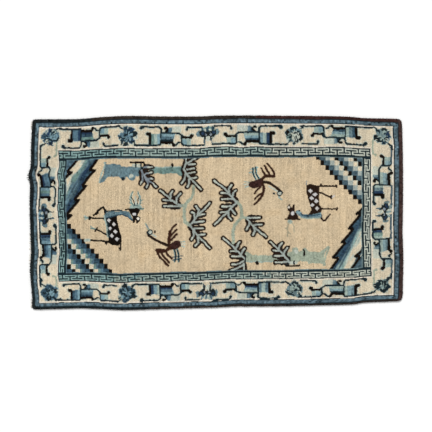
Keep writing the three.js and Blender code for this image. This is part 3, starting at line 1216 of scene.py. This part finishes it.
def pileHeights(u, v):
    dice = numpy.random.default_rng(cloth["seed"])
    columns, rows = knotting["columns"], knotting["rows"]
    fromEdge = numpy.minimum(numpy.minimum(u, columns - u), numpy.minimum(v, rows - v))
    places, heights = zip(*cloth["rim"])
    height = numpy.interp(fromEdge, places, heights)
    # how much corroded wool meets at this corner of four knots
    isWorn = hasWool(chart, *wornYarns).astype(float)
    rowAt = numpy.clip((v * knotting["fineness"]).astype(int), 1, chart.shape[0] - 1)
    columnAt = numpy.clip((u * knotting["fineness"]).astype(int), 1, chart.shape[1] - 1)
    worn = sum(isWorn[rowAt - down, columnAt - over] for down, over in ((1, 1), (1, 0), (0, 1), (0, 0))) / 4
    inside = numpy.clip(fromEdge / cloth["unworn"] - 1, 0, 1)
    swell = cloth["swell"] * softNoise(dice, u.shape, cloth["swellSize"])
    tuft = cloth["tuft"] * dice.standard_normal(u.shape) * (fromEdge > cloth["tuftFrom"])
    return height + swell * (fromEdge > cloth["swellFrom"]) + tuft - cloth["worn"] * worn * inside


def cornerColours(lines, rowLines):  # four colours for each face, just inside its corners
    def sampleAt(places, limit):
        first, second = places[:-1] * 0.75 + places[1:] * 0.25, places[:-1] * 0.25 + places[1:] * 0.75
        both = numpy.stack((first, second), axis=1) * knotting["fineness"]
        return numpy.clip(both.astype(int), 0, limit - 1)

    columnAt = sampleAt(lines, chart.shape[1])
    rowAt = sampleAt(rowLines, chart.shape[0])
    order = ((0, 0), (1, 0), (1, 1), (0, 1))
    return numpy.stack([colours[rowAt[:, r]][:, columnAt[:, c]] for r, c in order], axis=2).reshape(-1, 4, 3)


def addObject(name, data):
    made = bpy.data.objects.new(name, data)
    bpy.context.collection.objects.link(made)
    return made


def makeCloth():
    lines, rowLines = edgeLines(knotting["columns"]), edgeLines(knotting["rows"])
    u, v = numpy.meshgrid(lines, rowLines)
    spot = ground.at(u / knotting["columns"], v / knotting["rows"])
    pile = numpy.dstack((spot, pileHeights(u, v) * millimetre)).reshape(-1, 3)
    under, underRows = backLines(knotting["columns"]), backLines(knotting["rows"])
    backU, backV = numpy.meshgrid(under, underRows)
    spot = ground.at(backU / knotting["columns"], backV / knotting["rows"])
    woven = (numpy.indices(backU.shape).sum(axis=0) % 2) * cloth["weaveDepth"] * millimetre
    back = numpy.dstack((spot, woven)).reshape(-1, 3)

    quads = numpy.concatenate((
        gridFaces(0, len(lines), len(rowLines), True),
        gridFaces(len(pile), len(under), len(underRows), False),
    ))
    rim = stitchLoops(gridEdge(0, lines, rowLines), gridEdge(len(pile), under, underRows))
    mesh = bpy.data.meshes.new("rugCloth")
    mesh.from_pydata(numpy.concatenate((pile, back)).tolist(), [], quads.tolist() + rim)

    # knot places and colours, corner by corner
    knotU = numpy.concatenate((u.ravel(), backU.ravel()))
    knotV = numpy.concatenate((v.ravel(), backV.ravel()))
    corners = numpy.empty(len(mesh.loops), int)
    mesh.loops.foreach_get("vertex_index", corners)
    pileColours = cornerColours(lines, rowLines).reshape(-1, 3)
    backColours = cornerColours(under, underRows)[:, ::-1].reshape(-1, 3)
    rimAt = corners[len(pileColours) + len(backColours):]
    rowAt = numpy.clip((knotV[rimAt] * knotting["fineness"]).astype(int), 0, chart.shape[0] - 1)
    columnAt = numpy.clip((knotU[rimAt] * knotting["fineness"]).astype(int), 0, chart.shape[1] - 1)
    allColours = numpy.concatenate((pileColours, backColours, colours[rowAt, columnAt]))
    painted = mesh.color_attributes.new("yarnColour", "FLOAT_COLOR", "CORNER")
    painted.data.foreach_set("color", numpy.column_stack((allColours, numpy.ones(len(allColours)))).ravel())
    place = mesh.attributes.new("knotPlace", "FLOAT_VECTOR", "POINT")
    place.data.foreach_set("vector", numpy.column_stack((knotU, knotV, knotU * 0)).ravel())

    # the pile's map fills the upper half of the picture, the back's the lower half
    onPile = numpy.arange(len(corners)) < len(pileColours)
    margin = cloth["mapMargin"]
    mapU = margin + (1 - 2 * margin) * knotU[corners] / knotting["columns"]
    mapV = margin + (0.5 - 2 * margin) * (1 - knotV[corners] / knotting["rows"]) + 0.5 * onPile
    uvMap = mesh.uv_layers.new(name="OFBake")
    uvMap.data.foreach_set("uv", numpy.column_stack((mapU, mapV)).ravel())

    mesh.materials.append(woolPile)
    mesh.materials.append(wovenBack)
    slots = numpy.zeros(len(mesh.polygons), int)
    slots[len(pileColours) // 4:] = 1
    mesh.polygons.foreach_set("material_index", slots)
    mesh.polygons.foreach_set("use_smooth", numpy.ones(len(slots), bool))
    mesh.validate()
    return addObject("rugCloth", mesh)


def arithmetic(operation, swapped=False):
    def work(self, other):
        return self.math(operation, *((other, self) if swapped else (self, other)))

    return work


class Shade:  # a value on its way through a tree of nodes
    def __init__(self, tree, socket=None):
        self.tree = tree
        self.socket = socket

    def node(self, kind, sockets=(), output=0, **settings):
        made = self.tree.nodes.new(kind)
        for name, value in settings.items():
            setattr(made, name, value)
        for name, value in dict(sockets).items():
            if isinstance(value, Shade):
                self.tree.links.new(value.socket, made.inputs[name])
            else:
                made.inputs[name].default_value = value
        return Shade(self.tree, made.outputs[output] if made.outputs else None)

    def math(self, operation, first, second=0):
        return self.node("ShaderNodeMath", {0: first, 1: second}, operation=operation)

    __add__, __radd__ = arithmetic("ADD"), arithmetic("ADD", True)
    __sub__, __rsub__ = arithmetic("SUBTRACT"), arithmetic("SUBTRACT", True)
    __mul__, __rmul__ = arithmetic("MULTIPLY"), arithmetic("MULTIPLY", True)

    def attribute(self, name, output):
        return self.node("ShaderNodeAttribute", (), output, attribute_name=name)

    def knotPlace(self, axis):  # knots along or across the rug
        return self.node("ShaderNodeSeparateXYZ", {0: self.attribute("knotPlace", "Vector")}, axis)

    def groove(self, power):  # from 0 in the middle of each unit to 1 at its edges
        fromMiddle = self.math("ABSOLUTE", self.math("FRACT", self) - 0.5) * 2
        return self.math("POWER", fromMiddle, power)

    def noise(self, scale, detail=2.0):
        place = self.node("ShaderNodeTexCoord", (), "Object")
        return self.node("ShaderNodeTexNoise", {"Vector": place, "Scale": scale, "Detail": detail}, "Fac")

    def scaled(self, amount):  # a colour made lighter or darker by a value
        return self.node("ShaderNodeVectorMath", {0: self, "Scale": amount}, operation="SCALE")


def newMaterial(name):
    material = bpy.data.materials.new(name)
    material.use_nodes = True
    material.node_tree.nodes.clear()
    return material, Shade(material.node_tree)


def finishMaterial(start, colour, roughness, height, depth, constants):
    normal = start.node("ShaderNodeBump", {"Height": height, "Strength": 1.0, "Distance": depth})
    sockets = {"Base Color": colour, "Roughness": roughness, "Normal": normal}
    shader = start.node("ShaderNodeBsdfPrincipled", {**sockets, **constants})
    start.node("ShaderNodeOutputMaterial", {"Surface": shader})


# clipped wool pile: rows of knots with a groove between them, and loose tips
pileFinish = {
    "groove": 0.055,  # painted shade: the colour is darkened in the groove between two rows of knots
    "grooveShadeMean": 0.25,
    "tip": 0.16,  # light and dark of the tips
    "tipScale": 620,
    "clump": 0.08,
    "clumpScale": 210,
    "clumpDetail": 3.0,
    "relief": {"tip": 0.6, "clump": 0.6, "groove": 0.5},
    "bump": 0.0009,
    "roughness": (0.84, 0.12),
    "constants": {"Sheen Weight": 0.01, "Sheen Roughness": 0.45, "Specular IOR Level": 0.03},
}


def makePile():
    material, start = newMaterial("woolPile")
    groove = start.knotPlace("X").groove(3)
    tip = start.noise(pileFinish["tipScale"])
    clump = start.noise(pileFinish["clumpScale"], pileFinish["clumpDetail"])
    light = 1 + pileFinish["tip"] * (tip - 0.5) + pileFinish["clump"] * (clump - 0.5)
    # painted shade: each knot's colour is darkened towards the groove between rows
    light = light - pileFinish["groove"] * (groove - pileFinish["grooveShadeMean"])
    colour = start.attribute("yarnColour", "Color").scaled(light)
    base, spread = pileFinish["roughness"]
    relief = pileFinish["relief"]
    height = tip * relief["tip"] + clump * relief["clump"] - groove * relief["groove"]
    finishMaterial(start, colour, base + spread * tip, height, pileFinish["bump"], pileFinish["constants"])
    return material


# woven back: the same knots as flat double loops, with a weft shot between the rows
backFinish = {
    "dull": 0.86,
    "gapShade": 0.3,  # painted shade: the colour is darkened in the gap between two loops
    "gapShadeMean": 0.25,
    "weft": 0.32,  # how much of the cotton shows
    "cotton": (196, 182, 156),
    "grain": 0.2,
    "grainScale": 900,
    "relief": {"grain": 0.3, "gap": 0.6},
    "bump": 0.0006,
    "roughness": (0.9, 0.06),
    "constants": {"Specular IOR Level": 0.2},
}


def makeBack():
    material, start = newMaterial("wovenBack")
    weft = start.knotPlace("X").groove(4)
    gap = (start.knotPlace("Y") * 2).groove(3)
    grain = start.noise(backFinish["grainScale"])
    light = backFinish["dull"] + backFinish["grain"] * (grain - 0.5)
    # painted shade: the colour is darkened in the gaps between loops
    light = light - backFinish["gapShade"] * (gap - backFinish["gapShadeMean"])
    wool = start.attribute("yarnColour", "Color").scaled(light)
    cotton = (*toLinear(backFinish["cotton"]), 1.0)
    sockets = {0: weft * backFinish["weft"], 6: wool, 7: cotton}
    colour = start.node("ShaderNodeMix", sockets, 2, data_type="RGBA")
    base, spread = backFinish["roughness"]
    height = grain * backFinish["relief"]["grain"] - weft - gap * backFinish["relief"]["gap"]
    finishMaterial(start, colour, base + spread * grain, height, backFinish["bump"], backFinish["constants"])
    return material


woolPile = makePile()
wovenBack = makeBack()
rug = makeCloth()
print("cloth knotted:", len(rug.data.polygons), "faces")


# strands along the edge: frayed wool all round, and bare warp ends where the left end has worn
strandInputs = {
    "NodeSocketFloat": ("Spacing", "Length", "Thickness", "Bend", "Spread", "Lowest", "Highest", "Shortest"),
    "NodeSocketInt": ("Seed",),
    "NodeSocketMaterial": ("Material",),
}
# the last two are how far they lean down and up, as shares of their spread
strandForm = {"segments": 3, "sides": 4, "taper": 0.75, "longest": 1.2, "down": -0.1, "up": 0.5}


def strandTree():
    tree = bpy.data.node_groups.new("edgeStrands", "GeometryNodeTree")
    tree.interface.new_socket("Path", in_out="INPUT", socket_type="NodeSocketGeometry")
    for kind, labels in strandInputs.items():
        for label in labels:
            tree.interface.new_socket(label, in_out="INPUT", socket_type=kind)
    tree.interface.new_socket("Strands", in_out="OUTPUT", socket_type="NodeSocketGeometry")
    start = Shade(tree)
    given = tree.nodes.new("NodeGroupInput")
    ask = {socket.name: Shade(tree, socket) for socket in given.outputs if socket.name}

    def vector(x, y, z):
        return start.node("ShaderNodeCombineXYZ", {0: x, 1: y, 2: z})

    def named(name, kind):
        return start.node("GeometryNodeInputNamedAttribute", {"Name": name}, data_type=kind)

    def randomVector(low, high, offset):
        sockets = {0: low, 1: high, "Seed": ask["Seed"] + offset}
        return start.node("FunctionNodeRandomValue", sockets, data_type="FLOAT_VECTOR")

    def randomValue(low, high, offset):
        sockets = {2: low, 3: high, "Seed": ask["Seed"] + offset}
        return start.node("FunctionNodeRandomValue", sockets, 1, data_type="FLOAT")

    # one strand: a bent line, thinner towards its tip
    bezier = {
        "Resolution": strandForm["segments"],
        "Start": (0.0, 0.0, 0.0),
        "Middle": vector(0.0, 0.0, ask["Length"] * 0.5),
        "End": vector(ask["Bend"], 0.0, ask["Length"]),
    }
    spine = start.node("GeometryNodeCurveQuadraticBezier", bezier)
    radius = 1 - strandForm["taper"] * start.node("GeometryNodeSplineParameter", (), "Factor")
    spine = start.node("GeometryNodeSetCurveRadius", {"Curve": spine, "Radius": radius})
    circle = {"Resolution": strandForm["sides"], "Radius": ask["Thickness"] * 0.5}
    section = start.node("GeometryNodeCurvePrimitiveCircle", circle)
    sweep = {"Curve": spine, "Profile Curve": section, "Fill Caps": True}
    strand = start.node("GeometryNodeCurveToMesh", sweep)

    # where they stand: along the path, at random heights on the rim
    path = start.node("GeometryNodeMeshToCurve", {"Mesh": ask["Path"]})
    spaced = {"Curve": path, "Length": ask["Spacing"]}
    points = start.node("GeometryNodeCurveToPoints", spaced, mode="LENGTH")
    low = vector(-0.5 * ask["Spacing"], -0.5 * ask["Spacing"], ask["Lowest"])
    high = vector(0.5 * ask["Spacing"], 0.5 * ask["Spacing"], ask["Highest"])
    moved = {"Geometry": points, "Offset": randomVector(low, high, 1)}
    points = start.node("GeometryNodeSetPosition", moved)

    # how they lean: outwards, each a little its own way
    spread = ask["Spread"]
    low = vector(-1 * spread, -1 * spread, strandForm["down"] * spread)
    high = vector(spread, spread, strandForm["up"] * spread)
    summed = {0: named("outward", "FLOAT_VECTOR"), 1: randomVector(low, high, 2)}
    aim = start.node("ShaderNodeVectorMath", summed, operation="ADD")
    turn = start.node("FunctionNodeAlignRotationToVector", {"Vector": aim}, axis="Z")
    rolled = {"Axis": (0.0, 0.0, 1.0), "Angle": randomValue(0.0, 2 * math.pi, 3)}
    roll = start.node("FunctionNodeAxisAngleToRotation", rolled)
    both = {"Rotation": turn, "Rotate By": roll}
    turn = start.node("FunctionNodeRotateRotation", both, rotation_space="LOCAL")
    size = randomValue(ask["Shortest"], strandForm["longest"], 4) * named("fray", "FLOAT")
    standing = {"Points": points, "Instance": strand, "Rotation": turn, "Scale": vector(1.0, 1.0, size)}
    placed = start.node("GeometryNodeInstanceOnPoints", standing)
    real = start.node("GeometryNodeRealizeInstances", {"Geometry": placed})
    dressed = start.node("GeometryNodeSetMaterial", {"Geometry": real, "Material": ask["Material"]})
    start.node("NodeGroupOutput", {0: dressed}, is_active_output=True)
    return tree


def makeStrands(name, points, outward, colour, fray, links, settings):
    mesh = bpy.data.meshes.new(name + "Path")
    mesh.from_pydata(points.tolist(), links, [])
    for label, kind, key, values in (
        ("outward", "FLOAT_VECTOR", "vector", outward),
        ("yarnColour", "FLOAT_COLOR", "color", numpy.column_stack((colour, numpy.ones(len(points))))),
        ("fray", "FLOAT", "value", fray),
    ):
        made = mesh.attributes.new(label, kind, "POINT")
        made.data.foreach_set(key, numpy.asarray(values, float).ravel())
    carrier = addObject(name + "Path", mesh)
    modifier = carrier.modifiers.new("strands", "NODES")
    modifier.node_group = edgeStrands
    items = edgeStrands.interface.items_tree
    identifiers = {item.name: item.identifier for item in items if item.in_out == "INPUT"}
    for label, value in settings.items():
        modifier[identifiers[label]] = value
    modifier[identifiers["Material"]] = strandWool
    evaluated = carrier.evaluated_get(bpy.context.evaluated_depsgraph_get())
    finished = bpy.data.meshes.new_from_object(evaluated)
    carrier.modifiers.remove(modifier)
    bpy.data.objects.remove(carrier)
    finished.name = name
    return addObject(name, finished)


def edgePath(places, inset):  # points on the outline with the direction that faces away from the cloth
    spot = ground.at(places[:, 0], places[:, 1])
    ahead = numpy.roll(spot, -1, axis=0) - numpy.roll(spot, 1, axis=0)
    outward = numpy.column_stack((-ahead[:, 1], ahead[:, 0]))
    outward /= numpy.linalg.norm(outward, axis=1)[:, None]
    level = numpy.zeros(len(spot))
    return numpy.column_stack((spot - outward * inset, level)), numpy.column_stack((outward, level))


def colourAt(places):  # one knot in from the edge
    rows, columns = chart.shape
    inset = knotting["fineness"]
    rowAt = numpy.clip((places[:, 1] * rows).astype(int), inset, rows - 1 - inset)
    columnAt = numpy.clip((places[:, 0] * columns).astype(int), inset, columns - 1 - inset)
    return colours[rowAt, columnAt]


# frayed wool, longer where the left end has loose locks, given as shares of the way from back to front
frayedWool = {
    "Spacing": 1.9 * millimetre,
    "Length": 3.2 * millimetre,
    "Thickness": 1.1 * millimetre,
    "Bend": 0.9 * millimetre,
    "Spread": 0.75,
    "Lowest": 3.0 * millimetre,
    "Highest": 6.2 * millimetre,
    "Shortest": 0.5,
    "Seed": 3,
}
fraying = {"samples": 500, "inset": 1.6, "left": 1.2, "elsewhere": 0.75}
looseLocks = ({"at": 0.305, "wide": 0.02, "more": 1.4}, {"at": 0.97, "wide": 0.02, "more": 0.9})
warpEnds = {
    "Spacing": 3.3 * millimetre,
    "Length": 6.5 * millimetre,
    "Thickness": 1.1 * millimetre,
    "Bend": 0.8 * millimetre,
    "Spread": 0.35,
    "Lowest": 2.0 * millimetre,
    "Highest": 3.4 * millimetre,
    "Shortest": 0.5,
    "Seed": 8,
}
bareStretches = ((0.012, 0.045), (0.6, 0.755), (0.955, 0.99))  # shares of the left end, back to front
bareEnds = {"samples": 40, "inset": 1, "cotton": (206, 190, 160)}


def makeFrayedWool():
    places = numpy.concatenate([numpy.column_stack(pair) for pair in onceRound(fraying["samples"], False)])
    points, outward = edgePath(places, fraying["inset"] * millimetre)
    onLeft = places[:, 0] < 0.001
    fray = numpy.where(onLeft, fraying["left"], fraying["elsewhere"])
    for lock in looseLocks:
        fray += onLeft * lock["more"] * numpy.exp(-(((places[:, 1] - lock["at"]) / lock["wide"]) ** 2))
    links = [(i, (i + 1) % len(places)) for i in range(len(places))]
    return makeStrands("frayedWool", points, outward, colourAt(places), fray, links, frayedWool)


def makeWarpEnds():
    each = bareEnds["samples"]
    down = numpy.concatenate([numpy.linspace(end, start, each) for start, end in reversed(bareStretches)])
    count = len(down)
    spot = ground.at(numpy.zeros(count), down) + (bareEnds["inset"] * millimetre, 0.0)
    points = numpy.column_stack((spot, numpy.zeros(count)))
    outward = numpy.tile((-1.0, 0.0, 0.0), (count, 1))
    cotton = numpy.tile(toLinear(bareEnds["cotton"]) / dyeing["lightGain"], (count, 1))
    links = [(i, i + 1) for i in range(count - 1) if (i + 1) % each]
    return makeStrands("warpEnds", points, outward, cotton, numpy.ones(count), links, warpEnds)


strandFinish = {
    "fibreScale": 1400.0,
    "light": (0.85, 0.3),
    "roughness": (0.85, 0.1),
    "bump": 0.0002,
    "constants": {"Sheen Weight": 0.05, "Specular IOR Level": 0.1},
}


def makeStrandWool():
    material, start = newMaterial("strandWool")
    fibre = start.noise(strandFinish["fibreScale"])
    spreads = strandFinish["light"], strandFinish["roughness"]
    light, roughness = (base + spread * fibre for base, spread in spreads)
    colour = start.attribute("yarnColour", "Color").scaled(light)
    finishMaterial(start, colour, roughness, fibre, strandFinish["bump"], strandFinish["constants"])
    return material


strandWool = makeStrandWool()
edgeStrands = strandTree()
frayed = makeFrayedWool()
warps = makeWarpEnds()
print("edge frayed:", len(frayed.data.polygons), "and", len(warps.data.polygons), "faces")

# floor, light and camera
studio = {
    "floorSize": 40,
    "floorDrop": 0.0004,
    "paint": (0.92, 0.92, 0.915, 1),
    "paintGrain": 40.0,
    "paintRoughness": (0.75, 0.1),
    "paintBump": 0.0002,
    "sun": 2.2,
    "sunFrom": (-0.22, 0.8, 1.0),
    "sunWidth": 14,  # degrees, for a soft shadow
    "sky": 0.6,
    "millimetresPerPixel": 3.486,
    "imagePixels": 432,
    "lens": 85,
    "sensor": 36,
    "middle": (0.00035, -0.01133),  # metres, under the camera
}


def makeStudio():
    half = studio["floorSize"] / 2
    mesh = bpy.data.meshes.new("studioFloor")
    corners = [(-half, -half), (half, -half), (half, half), (-half, half)]
    mesh.from_pydata([(x, y, -studio["floorDrop"]) for x, y in corners], [], [(0, 1, 2, 3)])
    floor = addObject("studioFloor", mesh)
    material, start = newMaterial("palePaint")
    grain = start.noise(studio["paintGrain"])
    base, spread = studio["paintRoughness"]
    constants = {"Specular IOR Level": 0.1}
    finishMaterial(start, studio["paint"], base + spread * grain, grain, studio["paintBump"], constants)
    mesh.materials.append(material)

    lamp = bpy.data.lights.new("softSun", "SUN")
    lamp.energy = studio["sun"]
    lamp.angle = math.radians(studio["sunWidth"])
    sun = addObject("softSun", lamp)
    x, y, z = studio["sunFrom"]
    sun.rotation_euler = (math.atan2(math.hypot(x, y), z), 0, math.atan2(x, -y))

    scene = bpy.context.scene
    scene.world = bpy.data.worlds.new("studioWorld")
    scene.world.use_nodes = True
    background = scene.world.node_tree.nodes["Background"]
    background.inputs["Color"].default_value = (1, 1, 1, 1)
    background.inputs["Strength"].default_value = studio["sky"]
    scene.view_settings.view_transform = "Standard"

    camera = bpy.data.cameras.new("overhead")
    camera.lens = studio["lens"]
    camera.sensor_width = studio["sensor"]
    view = addObject("overhead", camera)
    width = studio["millimetresPerPixel"] * studio["imagePixels"] * millimetre
    height = width * studio["lens"] / studio["sensor"] + cloth["thickness"] * millimetre
    view.location = (*studio["middle"], height)
    scene.camera = view
    return floor


floor = makeStudio()
print("studio lit")

for piece in (rug, frayed, warps):
    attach(piece, "root")
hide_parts("rug")
